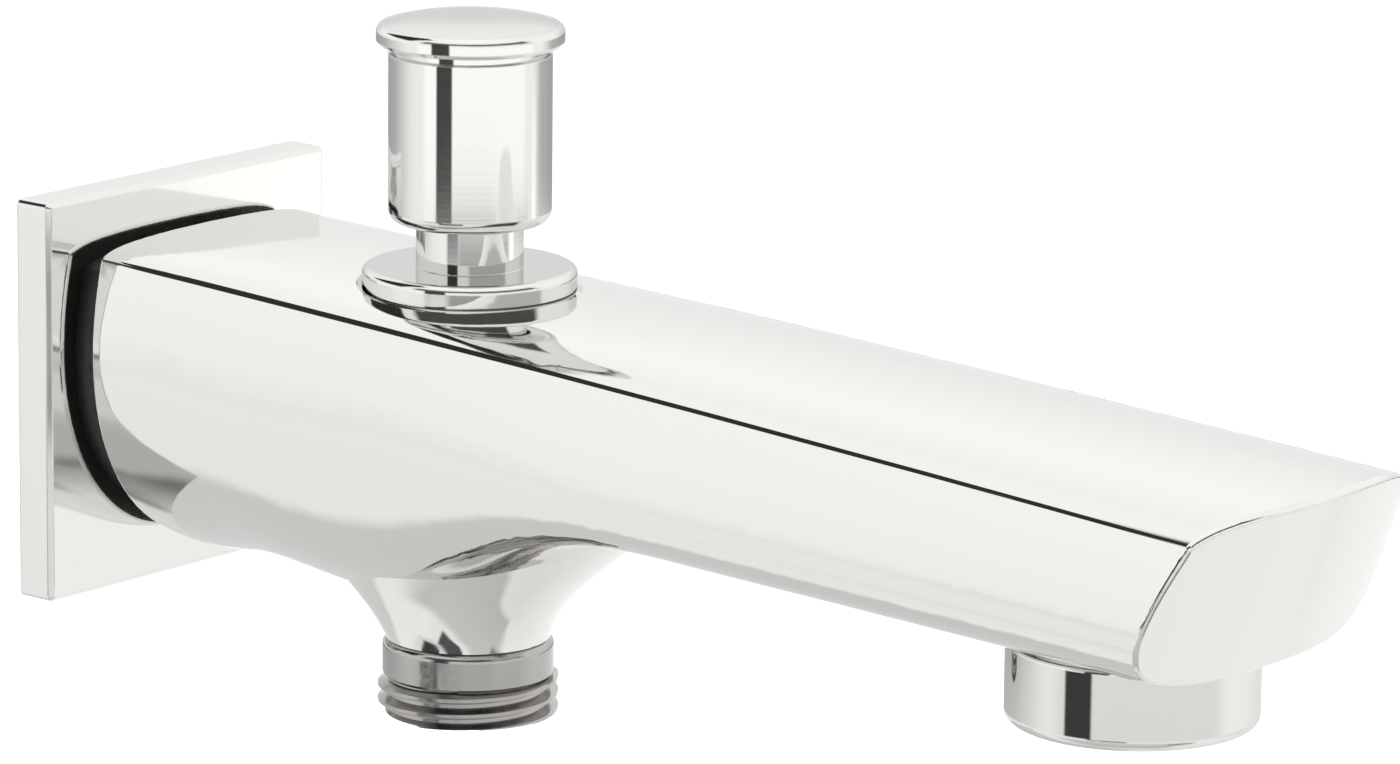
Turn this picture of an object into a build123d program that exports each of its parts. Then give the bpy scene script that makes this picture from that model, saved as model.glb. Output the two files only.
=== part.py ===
from build123d import *
import os

# Wall-mounted bath spout with a pull-up diverter and a hand-shower outlet, in millimetres.
# The origin is on the wall plane at the centre of the square flange.
# +X points out of the wall along the spout, +Y across it and +Z up.
# The knob, its spindle, the valve and the hand-shower outlet share one upright axis.

# Clearances shared by everything that fits
running_gap = 0.08
seat_gap = 0.05
free_gap = 0.35

# Square wall flange, a cast cover with an open back
flange_side = 47.6
flange_depth = 5.0
flange_wall = 1.6
flange_edge = 0.5
flange_corner = 0.7
flange_hub_wall = 1.8
flange_seal_section = 0.9
gasket_gap = 0.5
gasket_band = 3.5
gasket_thickness = 1.6

# Inlet with a female G1/2 thread in the tail of the casting, and a relief behind the thread
inlet_thread_radius = 9.3
inlet_thread_length = 11.0
inlet_relief_radius = 10.4
inlet_seat_depth = 15.0
tail_radius = 14.2
inlet_bore_radius = 6.2
inlet_washer_thickness = 2.0

# Cross-sections of the casting: deep at the wall, and a shallow arm past the outlet
neck_gap = 2.3
neck_inset = 2.2
deep_end_x = 44.0
arm_start_x = 88.0
rear_ridge_height = 16.9
tip_ridge_height = 9.4
ridge_bow = 0.5
rear_half_width = 17.6
tip_half_width = 19.6
rear_crown = 1.6
arm_crown = 2.4
tip_crown = 3.0
shoulder_place = 0.82
shoulder_rise = 0.95
flat_place = 0.7
flat_rise = 1.13
rear_depth = 18.6
arm_depth = 5.9
tip_depth = 8.0
belly_swell = 2.0
belly_x = 40.0
belly_reach = 14.0
rear_side_pull = 6.0
arm_side_pull = 7.0
rear_keel_half_width = 12.5
arm_keel_half_width = 17.0
rear_turn_height = -5.0
arm_turn_height = -8.0
casting_wall = 3.0
section_spacing = 15.0
ridge_radius = 0.8
tip_edge = 0.6
rear_edge = 0.5

# Tip of the spout: a bulging front face that leans back towards the aerator
tip_x = 166.0
tip_lean = 21.0
tip_bulge = 3.0

# Upright diverter axis, and the lift of the knob
diverter_x = 49.0
lift = 7.0

# Hand-shower outlet: the flare of the casting and the turned nipple below it
flare_half_length = 32.5
flare_half_width = 14.5
flare_height = -8.0
flare_set_back = 5.0
flare_levels = 4
flare_sweep = 1.3
outlet_waist_radius = 9.6
outlet_seam = -24.4
nipple_collar_radius = 9.95
nipple_collar_length = 4.6
nipple_thread_radius = 10.478
nipple_thread_length = 4.3
nipple_edge = 0.8
nipple_plug_radius = 8.9
nipple_bore_radius = 5.5
nipple_mouth_radius = 7.6
nipple_mouth_depth = 5.0
nipple_seal_section = 0.8
lower_seat_height = -11.5
seat_lip_width = 1.2
seat_lip_height = 0.6

# Valve on the spindle, and the chamber that it works in
chamber_radius = 8.6
disc_radius = 7.9
disc_thickness = 3.0
disc_washer_thickness = 2.0
disc_rim = 0.9
upper_seat_radius = 9.2
upper_seat_hole = 6.7
upper_seat_thickness = 1.8
tower_wall = 2.8
valve_nut_radius = 3.9
valve_nut_thickness = 3.0

# Spindle with its sealed piston
spindle_radius = 3.0
spindle_stud_radius = 2.2
piston_radius = 4.5
piston_length = 6.4
spindle_seal_section = 0.8
spring_wire = 0.8
spring_radius = 5.2
spring_turns = 5
spring_washer_thickness = 0.6

# Bonnet: the round guide bush below the knob
bonnet_plug_radius = 10.4
bonnet_plug_length = 7.4
bonnet_seat_height = 16.0
bonnet_radius = 12.4
bonnet_thickness = 3.3
bonnet_neck_radius = 6.2
bonnet_neck_height = 33.5
bonnet_neck_edge = 0.6
bonnet_seal_section = 0.9
spot_face_radius = 13.0

# Knob and its cap
knob_bottom = 24.5
knob_radius = 9.4
knob_height = 19.6
knob_edge = 1.5
knob_web = 4.0
knob_groove_height = 1.0
knob_groove_depth = 0.7
knob_pocket_radius = 7.2
knob_pocket_depth = 5.0
cap_radius = 10.8
cap_rim = 2.4
cap_dome = 0.9
cap_edge = 0.9
cap_plug_depth = 2.5
screw_radius = 1.5
screw_head_radius = 3.3
screw_head_height = 2.2
screw_length = 8.0
screw_socket_radius = 1.25
screw_socket_depth = 1.2

# Aerator under the tip
aerator_set_back = 21.5
aerator_radius = 13.95
aerator_top = -8.2
aerator_bottom = -17.2
aerator_edge = 1.3
aerator_top_edge = 0.4
aerator_lip = 0.8
aerator_mouth_radius = 9.9
spigot_radius = 11.6
spigot_end = -12.0
spigot_bore_radius = 9.0
insert_radius = 11.0
aerator_washer_thickness = 1.1
jet_plate_thickness = 1.0
screen_thickness = 0.5
jet_holes = 18
jet_hole_radius = 0.8
jet_circle_radius = 6.6
grid_hole_radius = 1.3
grid_pitch = 3.1
grid_count = 7

# Waterways inside the casting
inlet_passage_half_height = 4.2
inlet_passage_height = -3.0
spout_passage_width = 13.0

# Planes and axes
aerator_x = tip_x - aerator_set_back
wall_plane = Plane.YZ
upright_axis = Axis((diverter_x, 0, 0), (0, 0, 1))
upright_plane = Plane((diverter_x, 0, 0), x_dir=(1, 0, 0), z_dir=(0, -1, 0))
aerator_axis = Axis((aerator_x, 0, 0), (0, 0, 1))
aerator_plane = Plane((aerator_x, 0, 0), x_dir=(1, 0, 0), z_dir=(0, -1, 0))
inlet_axis = Axis((0, 0, 0), (1, 0, 0))
inlet_plane = Plane((0, 0, 0), x_dir=(1, 0, 0), z_dir=(0, -1, 0))

os.makedirs("parts", exist_ok=True)


def finish(builder, name):
    """Label one finished piece and write it."""
    builder.part.label = name
    export_step(builder.part, f"parts/{name}.step")


def ease(start, end, x):
    """A smooth change from start, up to the deep end, to end, from the start of the arm."""
    share = min(max((x - deep_end_x) / (arm_start_x - deep_end_x), 0), 1)
    return start + (end - start) * share**2 * (3 - 2 * share)


def along(start, end, x, x_start, x_end):
    """The value at x on a straight run from x_start to x_end."""
    return start + (end - start) * (x - x_start) / (x_end - x_start)


def casting_section(x, inset=0.0):
    """One cross-section of the casting: a crowned top between two sharp ridges, and sides
    that swell below the ridges and turn under to a rounded keel."""
    past_arm = max(x - arm_start_x, 0) / (tip_x - arm_start_x)
    share = along(0, 1, x, body_start, tip_x)
    bow = 4 * ridge_bow * share * (1 - share)
    ridge = along(rear_ridge_height, tip_ridge_height, x, body_start, tip_x) + bow - inset
    half_width = along(rear_half_width, tip_half_width, x, body_start, tip_x) - inset
    crown = ease(rear_crown, arm_crown, x) + (tip_crown - arm_crown) * past_arm
    swell = belly_swell / (1 + ((x - belly_x) / belly_reach) ** 4)
    keel = inset - swell - ease(rear_depth, arm_depth, x) - (tip_depth - arm_depth) * past_arm
    side = half_width + ease(rear_side_pull, arm_side_pull, x)
    turn = ease(rear_turn_height, arm_turn_height, x) - (tip_depth - arm_depth) * past_arm
    keel_half_width = ease(rear_keel_half_width, arm_keel_half_width, x) - inset
    shoulder = half_width * shoulder_place
    shoulder_height = ridge + crown * shoulder_rise
    flat = half_width * flat_place
    flat_height = ridge + crown * flat_rise
    with BuildSketch(wall_plane.offset(x)) as section:
        with BuildLine():
            Bezier(
                (-half_width, ridge),
                (-shoulder, shoulder_height),
                (-flat, flat_height),
                (flat, flat_height),
                (shoulder, shoulder_height),
                (half_width, ridge),
            )
            Bezier((half_width, ridge), (side, turn), (keel_half_width, keel), (0, keel))
            Bezier((0, keel), (-keel_half_width, keel), (-side, turn), (-half_width, ridge))
        make_face()
        fillet(section.vertices().sort_by(Axis.Y)[-2:], ridge_radius)
    return section.sketch.face()


def flare_section(share):
    """One level of the flare under the casting, from a long oval down to the round waist."""
    with BuildSketch(Plane.XY.offset(along(outlet_seam, flare_height, share, 0, 1))) as level:
        with Locations((diverter_x - flare_set_back * share, 0)):
            Ellipse(
                along(outlet_waist_radius, flare_half_length, share**flare_sweep, 0, 1),
                along(outlet_waist_radius, flare_half_width, share**2, 0, 1),
            )
    return level.sketch.face()


def profile(plane, *points):
    """A closed outline of straight runs, on a plane through the axis that it turns about."""
    with BuildSketch(plane) as outline:
        with BuildLine():
            Polyline(*points, close=True)
        make_face()
    return outline.sketch.face()


def ring_seal(name, axis, plane, section, mid_radius, height):
    """A rubber ring of round section about an upright axis."""
    with BuildPart() as ring:
        with BuildSketch(plane):
            with Locations((mid_radius, height)):
                Circle(section)
        revolve(axis=axis)
    finish(ring, name)


# Heights that follow from the sizes above
arc_middle = 0.5**0.5
body_start = flange_depth + neck_gap
loft_end = tip_x + casting_wall + tip_bulge
lower_washer_bottom = lower_seat_height + seat_gap
disc_bottom = lower_washer_bottom + disc_washer_thickness
disc_top = disc_bottom + disc_thickness
valve_top = disc_top + disc_washer_thickness
upper_seat_bottom = valve_top + lift + seat_gap
upper_seat_top = upper_seat_bottom + upper_seat_thickness
bonnet_plug_bottom = bonnet_seat_height - bonnet_plug_length
bonnet_top = bonnet_seat_height + bonnet_thickness
piston_bottom = bonnet_plug_bottom + seat_gap
piston_top = piston_bottom + piston_length
piston_stop = piston_top + lift + free_gap
knob_top = knob_bottom + knob_height
knob_roof = knob_top + knob_groove_height - knob_pocket_depth - knob_web
knob_floor = knob_roof + knob_web
cap_bottom = knob_top + knob_groove_height
nipple_collar_bottom = outlet_seam - nipple_collar_length
nipple_bottom = nipple_collar_bottom - nipple_thread_length
tower_radius = chamber_radius + tower_wall
bonnet_bore_radius = bonnet_plug_radius + running_gap
spring_bottom = valve_top + spring_washer_thickness
spout_passage_height = (upper_seat_top + bonnet_plug_bottom) / 2
spout_passage_rise = bonnet_plug_bottom - upper_seat_top

# Places of the cross-sections along the spout, past the tip
section_count = round((loft_end - body_start) / section_spacing)
stations = [
    along(body_start, loft_end, step, 0, section_count) for step in range(section_count + 1)
]

# Block in front of the tip: its back is the bulging, leaning front face
front_radius = (tip_half_width**2 + tip_bulge**2) / (2 * tip_bulge)
front_plane = Plane((tip_x, 0, tip_ridge_height), x_dir=(1, 0, 0), z_dir=(0, 0, 1)).rotated(
    (0, tip_lean, 0)
)
front_reach = 2 * flange_side
with BuildPart() as front_block:
    with BuildSketch(front_plane):
        with Locations((tip_bulge - front_radius, 0)):
            Rectangle(2 * front_radius, 2 * front_radius, align=(Align.MIN, Align.CENTER))
            Circle(front_radius, mode=Mode.SUBTRACT)
    extrude(amount=front_reach, both=True)

# Core of the casting: the waterway left by the sand core, with the valve tower, the inlet
# tail and the front wall standing in it
core_start = body_start + casting_wall
with BuildPart() as core:
    loft(sections=[
        casting_section(max(x, core_start), inset=casting_wall) for x in stations
    ])
    with BuildSketch(wall_plane):
        Circle(tail_radius)
    extrude(amount=inlet_seat_depth + casting_wall, mode=Mode.SUBTRACT)
    with BuildSketch(Plane.XY):
        with Locations((diverter_x, 0)):
            Circle(bonnet_bore_radius + tower_wall)
    extrude(amount=front_reach, both=True, mode=Mode.SUBTRACT)
    with Locations(Location((-casting_wall, 0, 0))):
        add(front_block.part, mode=Mode.SUBTRACT)

# Spout body: one brass casting, with its tail, flare and aerator spigot
with BuildPart() as spout_body:
    loft(sections=[casting_section(x) for x in stations])
    add(front_block.part, mode=Mode.SUBTRACT)
    fillet(spout_body.faces().sort_by(Axis.X)[-1].edges(), tip_edge)
    fillet(spout_body.faces().sort_by(Axis.X)[0].edges(), rear_edge)
    extrude(to_extrude=casting_section(body_start, inset=neck_inset), amount=-neck_gap)
    with BuildSketch(wall_plane):
        Circle(tail_radius)
    extrude(amount=body_start)
    loft(sections=[flare_section(step / flare_levels) for step in range(flare_levels + 1)])
    with BuildSketch(Plane.XY.offset(spigot_end)):
        with Locations((aerator_x, 0)):
            Circle(spigot_radius)
    extrude(amount=-spigot_end)
    add(core.part, mode=Mode.SUBTRACT)
    # Spot face and bore for the bonnet, chamber and bore for the nipple
    with BuildSketch(Plane.XY.offset(bonnet_seat_height)):
        with Locations((diverter_x, 0)):
            Circle(spot_face_radius)
    extrude(amount=front_reach, mode=Mode.SUBTRACT)
    valve_bore = profile(
        upright_plane,
        (0, front_reach),
        (bonnet_bore_radius, front_reach),
        (bonnet_bore_radius, bonnet_plug_bottom - free_gap),
        (upper_seat_radius + seat_gap, bonnet_plug_bottom - free_gap),
        (upper_seat_radius + seat_gap, upper_seat_bottom),
        (chamber_radius, upper_seat_bottom),
        (chamber_radius, lower_seat_height - seat_lip_height),
        (nipple_plug_radius + seat_gap, lower_seat_height - seat_lip_height),
        (nipple_plug_radius + seat_gap, outlet_seam),
        (0, outlet_seam),
    )
    revolve(profiles=valve_bore, axis=upright_axis, mode=Mode.SUBTRACT)
    # Threaded inlet, its relief and the step down to the washer seat
    inlet_bore = profile(
        inlet_plane,
        (0, 0),
        (0, inlet_thread_radius),
        (inlet_thread_length, inlet_thread_radius),
        (inlet_thread_length, inlet_relief_radius),
        (inlet_seat_depth, inlet_relief_radius),
        (inlet_seat_depth, inlet_bore_radius),
        (inlet_seat_depth + 2 * casting_wall, inlet_bore_radius),
        (inlet_seat_depth + 2 * casting_wall, 0),
    )
    revolve(profiles=inlet_bore, axis=inlet_axis, mode=Mode.SUBTRACT)
    # Groove for the rubber ring that holds the flange
    tail_groove = profile(
        inlet_plane,
        (flange_depth / 2 - flange_seal_section, tail_radius - 2 * flange_seal_section),
        (flange_depth / 2 + flange_seal_section, tail_radius - 2 * flange_seal_section),
        (flange_depth / 2 + flange_seal_section, tail_radius + seat_gap),
        (flange_depth / 2 - flange_seal_section, tail_radius + seat_gap),
    )
    revolve(profiles=tail_groove, axis=inlet_axis, mode=Mode.SUBTRACT)
    # Windows in the valve tower, low at the back and high at the front
    with BuildSketch(wall_plane.offset(diverter_x - tower_radius - tower_wall)):
        with Locations((0, inlet_passage_height)):
            Circle(inlet_passage_half_height)
    extrude(amount=tower_radius + tower_wall, mode=Mode.SUBTRACT)
    with BuildSketch(wall_plane.offset(diverter_x)):
        with Locations((0, spout_passage_height)):
            SlotOverall(spout_passage_width, spout_passage_rise - free_gap)
    extrude(amount=tower_radius + 2 * tower_wall, mode=Mode.SUBTRACT)
    # Bore of the aerator spigot, up into the waterway
    with BuildSketch(Plane.XY.offset(spigot_end)):
        with Locations((aerator_x, 0)):
            Circle(spigot_bore_radius)
    extrude(amount=-spigot_end, mode=Mode.SUBTRACT)
finish(spout_body, "spout_body")

# Wall flange: a square cover that slides over the tail of the casting
flange_hole_radius = tail_radius + running_gap
with BuildPart() as wall_flange:
    with BuildSketch(wall_plane):
        RectangleRounded(flange_side, flange_side, flange_corner)
    extrude(amount=flange_depth)
    chamfer(wall_flange.faces().sort_by(Axis.X)[-1].outer_wire().edges(), flange_edge)
    with BuildSketch(wall_plane):
        Rectangle(flange_side - 2 * flange_wall, flange_side - 2 * flange_wall)
        Circle(flange_hole_radius + flange_hub_wall, mode=Mode.SUBTRACT)
    extrude(amount=flange_depth - flange_wall, mode=Mode.SUBTRACT)
    with BuildSketch(wall_plane):
        Circle(flange_hole_radius)
    extrude(amount=flange_depth, mode=Mode.SUBTRACT)
finish(wall_flange, "wall_flange")

# Foam gasket: a square frame inside the rim of the flange, clear of its hub
gasket_side = flange_side - 2 * flange_wall
with BuildPart() as flange_gasket:
    with BuildSketch(wall_plane):
        Rectangle(gasket_side, gasket_side)
        Rectangle(gasket_side - 2 * gasket_band, gasket_side - 2 * gasket_band, mode=Mode.SUBTRACT)
        Circle(flange_hole_radius + flange_hub_wall + gasket_gap, mode=Mode.SUBTRACT)
    extrude(amount=gasket_thickness)
finish(flange_gasket, "flange_gasket")

# Flat rubber washer at the bottom of the threaded inlet
with BuildPart() as inlet_washer:
    with BuildSketch(wall_plane.offset(inlet_seat_depth)):
        Circle(inlet_thread_radius - seat_gap)
        Circle(inlet_bore_radius, mode=Mode.SUBTRACT)
    extrude(amount=-inlet_washer_thickness)
finish(inlet_washer, "inlet_washer")

# Hand-shower nipple: plug in the casting, seat lip on top, collar and hose thread below
nipple_seal_height = (outlet_seam + lower_seat_height) / 2
nipple_seal_groove = nipple_plug_radius - nipple_seal_section * 2
with BuildPart() as shower_nipple:
    nipple_outline = profile(
        upright_plane,
        (nipple_bore_radius, lower_seat_height),
        (nipple_bore_radius + seat_lip_width, lower_seat_height),
        (nipple_bore_radius + seat_lip_width, lower_seat_height - seat_lip_height),
        (nipple_plug_radius, lower_seat_height - seat_lip_height),
        (nipple_plug_radius, nipple_seal_height + nipple_seal_section),
        (nipple_seal_groove, nipple_seal_height + nipple_seal_section),
        (nipple_seal_groove, nipple_seal_height - nipple_seal_section),
        (nipple_plug_radius, nipple_seal_height - nipple_seal_section),
        (nipple_plug_radius, outlet_seam),
        (nipple_collar_radius - nipple_edge, outlet_seam),
        (nipple_collar_radius, outlet_seam - nipple_edge),
        (nipple_collar_radius, nipple_collar_bottom),
        (nipple_thread_radius, nipple_collar_bottom),
        (nipple_thread_radius, nipple_bottom + nipple_edge),
        (nipple_thread_radius - nipple_edge, nipple_bottom),
        (nipple_mouth_radius, nipple_bottom),
        (nipple_mouth_radius, nipple_bottom + nipple_mouth_depth),
        (nipple_bore_radius, nipple_bottom + nipple_mouth_depth + nipple_edge),
    )
    revolve(profiles=nipple_outline, axis=upright_axis)
finish(shower_nipple, "shower_nipple")

# Seat ring that the lifted valve closes, dropped into the bore under the bonnet
with BuildPart() as upper_seat_ring:
    seat_outline = profile(
        upright_plane,
        (upper_seat_hole, upper_seat_bottom),
        (upper_seat_radius, upper_seat_bottom),
        (upper_seat_radius, upper_seat_top),
        (upper_seat_hole, upper_seat_top),
    )
    revolve(profiles=seat_outline, axis=upright_axis)
finish(upper_seat_ring, "upper_seat_ring")

# Bonnet: plug in the casting, rounded disc on its seat, and the neck that guides the spindle
bonnet_bore = piston_radius + running_gap
bonnet_seal_height = bonnet_seat_height - 2 * bonnet_seal_section
bonnet_seal_groove = bonnet_plug_radius - 2 * bonnet_seal_section
with BuildPart() as diverter_bonnet:
    with BuildSketch(upright_plane):
        with BuildLine():
            Polyline(
                (bonnet_bore, bonnet_plug_bottom),
                (bonnet_plug_radius, bonnet_plug_bottom),
                (bonnet_plug_radius, bonnet_seal_height - bonnet_seal_section),
                (bonnet_seal_groove, bonnet_seal_height - bonnet_seal_section),
                (bonnet_seal_groove, bonnet_seal_height + bonnet_seal_section),
                (bonnet_plug_radius, bonnet_seal_height + bonnet_seal_section),
                (bonnet_plug_radius, bonnet_seat_height),
                (bonnet_radius - bonnet_thickness / 2, bonnet_seat_height),
            )
            ThreePointArc(
                (bonnet_radius - bonnet_thickness / 2, bonnet_seat_height),
                (bonnet_radius, bonnet_seat_height + bonnet_thickness / 2),
                (bonnet_radius - bonnet_thickness / 2, bonnet_top),
            )
            Polyline(
                (bonnet_radius - bonnet_thickness / 2, bonnet_top),
                (bonnet_neck_radius, bonnet_top),
                (bonnet_neck_radius, bonnet_neck_height - bonnet_neck_edge),
                (bonnet_neck_radius - bonnet_neck_edge, bonnet_neck_height),
                (spindle_radius + running_gap, bonnet_neck_height),
                (spindle_radius + running_gap, piston_stop),
                (bonnet_bore, piston_stop),
                (bonnet_bore, bonnet_plug_bottom),
            )
        make_face()
    revolve(axis=upright_axis)
finish(diverter_bonnet, "diverter_bonnet")

# Spindle: one turned rod with the sealed piston, the guide above it and the stud for the valve
lower_seal_height = piston_bottom + 2 * spindle_seal_section
upper_seal_height = piston_top - 2 * spindle_seal_section
piston_groove_radius = piston_radius - 2 * spindle_seal_section
with BuildPart() as diverter_spindle:
    spindle_outline = profile(
        upright_plane,
        (0, lower_washer_bottom - valve_nut_thickness),
        (spindle_stud_radius, lower_washer_bottom - valve_nut_thickness),
        (spindle_stud_radius, valve_top),
        (spindle_radius, valve_top),
        (spindle_radius, piston_bottom),
        (piston_radius, piston_bottom),
        (piston_radius, lower_seal_height - spindle_seal_section),
        (piston_groove_radius, lower_seal_height - spindle_seal_section),
        (piston_groove_radius, lower_seal_height + spindle_seal_section),
        (piston_radius, lower_seal_height + spindle_seal_section),
        (piston_radius, upper_seal_height - spindle_seal_section),
        (piston_groove_radius, upper_seal_height - spindle_seal_section),
        (piston_groove_radius, upper_seal_height + spindle_seal_section),
        (piston_radius, upper_seal_height + spindle_seal_section),
        (piston_radius, piston_top),
        (spindle_radius, piston_top),
        (spindle_radius, knob_roof),
        (spindle_stud_radius, knob_roof),
        (spindle_stud_radius, knob_floor),
        (screw_radius + seat_gap, knob_floor),
        (screw_radius + seat_gap, knob_floor - screw_length - free_gap),
        (0, knob_floor - screw_length - free_gap),
    )
    revolve(profiles=spindle_outline, axis=upright_axis)
finish(diverter_spindle, "diverter_spindle")

# Valve: a brass disc between two rubber washers, clamped by a nut on the stud
with BuildPart() as valve_disc:
    disc_outline = profile(
        upright_plane,
        (spindle_stud_radius + seat_gap, disc_bottom),
        (disc_radius - disc_rim, disc_bottom),
        (disc_radius, disc_bottom + disc_rim),
        (disc_radius, disc_top - disc_rim),
        (disc_radius - disc_rim, disc_top),
        (spindle_stud_radius + seat_gap, disc_top),
    )
    revolve(profiles=disc_outline, axis=upright_axis)
finish(valve_disc, "valve_disc")

for washer_name, washer_bottom in (
    ("lower_valve_washer", lower_washer_bottom),
    ("upper_valve_washer", disc_top),
):
    with BuildPart() as valve_washer:
        with BuildSketch(Plane.XY.offset(washer_bottom)):
            with Locations((diverter_x, 0)):
                Circle(disc_radius)
                Circle(spindle_stud_radius + seat_gap, mode=Mode.SUBTRACT)
        extrude(amount=disc_washer_thickness)
    finish(valve_washer, washer_name)

with BuildPart() as valve_nut:
    with BuildSketch(Plane.XY.offset(lower_washer_bottom)):
        with Locations((diverter_x, 0)):
            RegularPolygon(valve_nut_radius, 6)
            Circle(spindle_stud_radius + seat_gap, mode=Mode.SUBTRACT)
    extrude(amount=-valve_nut_thickness)
finish(valve_nut, "valve_nut")

# Return spring under the bonnet, on a steel washer that spreads its load over the valve
with BuildPart() as spring_washer:
    with BuildSketch(Plane.XY.offset(valve_top)):
        with Locations((diverter_x, 0)):
            Circle(spring_radius + spring_wire)
            Circle(spindle_radius + running_gap, mode=Mode.SUBTRACT)
    extrude(amount=spring_washer_thickness)
finish(spring_washer, "spring_washer")

spring_height = bonnet_plug_bottom - spring_bottom - spring_wire - 2 * seat_gap
with BuildPart() as diverter_spring:
    with BuildLine():
        coil = Helix(
            pitch=spring_height / spring_turns,
            height=spring_height,
            radius=spring_radius,
            center=(diverter_x, 0, spring_bottom + seat_gap + spring_wire / 2),
        )
    with BuildSketch(Plane(origin=coil @ 0, z_dir=coil % 0)):
        Circle(spring_wire / 2)
    sweep(is_frenet=True)
finish(diverter_spring, "diverter_spring")

# Knob: a turned cylinder, hollow below for the neck and above for the screw and cap
knob_bore_radius = bonnet_neck_radius + free_gap
with BuildPart() as diverter_knob:
    with BuildSketch(upright_plane):
        with BuildLine():
            Polyline(
                (knob_bore_radius, knob_bottom),
                (knob_radius - knob_edge, knob_bottom),
            )
            ThreePointArc(
                (knob_radius - knob_edge, knob_bottom),
                (knob_radius - knob_edge * (1 - arc_middle), knob_bottom + knob_edge * (1 - arc_middle)),
                (knob_radius, knob_bottom + knob_edge),
            )
            Polyline(
                (knob_radius, knob_bottom + knob_edge),
                (knob_radius, knob_top),
                (knob_radius - knob_groove_depth, knob_top),
                (knob_radius - knob_groove_depth, cap_bottom),
                (knob_pocket_radius, cap_bottom),
                (knob_pocket_radius, knob_floor),
                (spindle_stud_radius + seat_gap, knob_floor),
                (spindle_stud_radius + seat_gap, knob_roof),
                (knob_bore_radius, knob_roof),
                (knob_bore_radius, knob_bottom),
            )
        make_face()
    revolve(axis=upright_axis)
finish(diverter_knob, "diverter_knob")

# Screw that holds the knob down on the spindle
with BuildPart() as knob_screw:
    with BuildSketch(Plane.XY.offset(knob_floor)):
        with Locations((diverter_x, 0)):
            Circle(screw_head_radius)
    extrude(amount=screw_head_height)
    with BuildSketch(Plane.XY.offset(knob_floor)):
        with Locations((diverter_x, 0)):
            Circle(screw_radius)
    extrude(amount=-screw_length)
    with BuildSketch(Plane.XY.offset(knob_floor + screw_head_height)):
        with Locations((diverter_x, 0)):
            RegularPolygon(screw_socket_radius, 6)
    extrude(amount=-screw_socket_depth, mode=Mode.SUBTRACT)
finish(knob_screw, "knob_screw")

# Cap: a wider disc with a slight dome, on a short plug pressed into the knob
cap_rim_top = cap_bottom + cap_rim
with BuildPart() as knob_cap:
    with BuildSketch(upright_plane):
        with BuildLine():
            Polyline(
                (0, cap_rim_top + cap_dome),
                (0, cap_bottom - cap_plug_depth),
                (knob_pocket_radius - seat_gap, cap_bottom - cap_plug_depth),
                (knob_pocket_radius - seat_gap, cap_bottom),
                (cap_radius - cap_edge / 2, cap_bottom),
                (cap_radius, cap_bottom + cap_edge / 2),
                (cap_radius, cap_rim_top - cap_edge),
            )
            TangentArc(
                (cap_radius, cap_rim_top - cap_edge),
                (cap_radius - cap_edge, cap_rim_top),
                tangent=(0, 1),
            )
            Bezier(
                (cap_radius - cap_edge, cap_rim_top),
                (cap_radius * 2 / 3, cap_rim_top + cap_dome),
                (cap_radius / 3, cap_rim_top + cap_dome),
                (0, cap_rim_top + cap_dome),
            )
        make_face()
    revolve(axis=upright_axis)
finish(knob_cap, "knob_cap")

# Rubber rings: two on the piston, and one each for the bonnet, nipple and flange
ring_seal(
    "lower_spindle_o_ring", upright_axis, upright_plane, spindle_seal_section - seat_gap,
    piston_radius - spindle_seal_section + seat_gap, lower_seal_height,
)
ring_seal(
    "upper_spindle_o_ring", upright_axis, upright_plane, spindle_seal_section - seat_gap,
    piston_radius - spindle_seal_section + seat_gap, upper_seal_height,
)
ring_seal(
    "bonnet_o_ring", upright_axis, upright_plane, bonnet_seal_section - seat_gap,
    bonnet_plug_radius - bonnet_seal_section + seat_gap, bonnet_seal_height,
)
ring_seal(
    "nipple_o_ring", upright_axis, upright_plane, nipple_seal_section - seat_gap,
    nipple_plug_radius - nipple_seal_section, nipple_seal_height,
)
ring_seal(
    "flange_o_ring", inlet_axis, inlet_plane, flange_seal_section - seat_gap,
    flange_depth / 2, tail_radius - flange_seal_section,
)

# Aerator: a screwed ring that holds the jet plate, two screens and the grid under a washer
jet_plate_top = spigot_end - seat_gap - aerator_washer_thickness
jet_plate_bottom = jet_plate_top - jet_plate_thickness
grid_bottom = aerator_bottom + aerator_lip
grid_top = jet_plate_bottom - 2 * screen_thickness
with BuildPart() as aerator_ring:
    ring_outline = profile(
        aerator_plane,
        (aerator_mouth_radius, aerator_bottom),
        (aerator_radius, aerator_bottom),
        (aerator_radius, aerator_top),
        (spigot_radius + seat_gap, aerator_top),
        (spigot_radius + seat_gap, spigot_end),
        (insert_radius + seat_gap, spigot_end),
        (insert_radius + seat_gap, grid_bottom),
        (aerator_mouth_radius, grid_bottom),
    )
    revolve(profiles=ring_outline, axis=aerator_axis)
    rim = aerator_ring.faces().filter_by(GeomType.CYLINDER).sort_by(SortBy.RADIUS)[-1]
    fillet(rim.edges().filter_by(GeomType.CIRCLE).sort_by(Axis.Z)[0], aerator_edge)
    rim = aerator_ring.faces().filter_by(GeomType.CYLINDER).sort_by(SortBy.RADIUS)[-1]
    fillet(rim.edges().filter_by(GeomType.CIRCLE).sort_by(Axis.Z)[-1], aerator_top_edge)
finish(aerator_ring, "aerator_ring")

with BuildPart() as aerator_washer:
    with BuildSketch(Plane.XY.offset(jet_plate_top)):
        with Locations((aerator_x, 0)):
            Circle(insert_radius)
            Circle(spigot_bore_radius, mode=Mode.SUBTRACT)
    extrude(amount=aerator_washer_thickness)
finish(aerator_washer, "aerator_washer")

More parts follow.
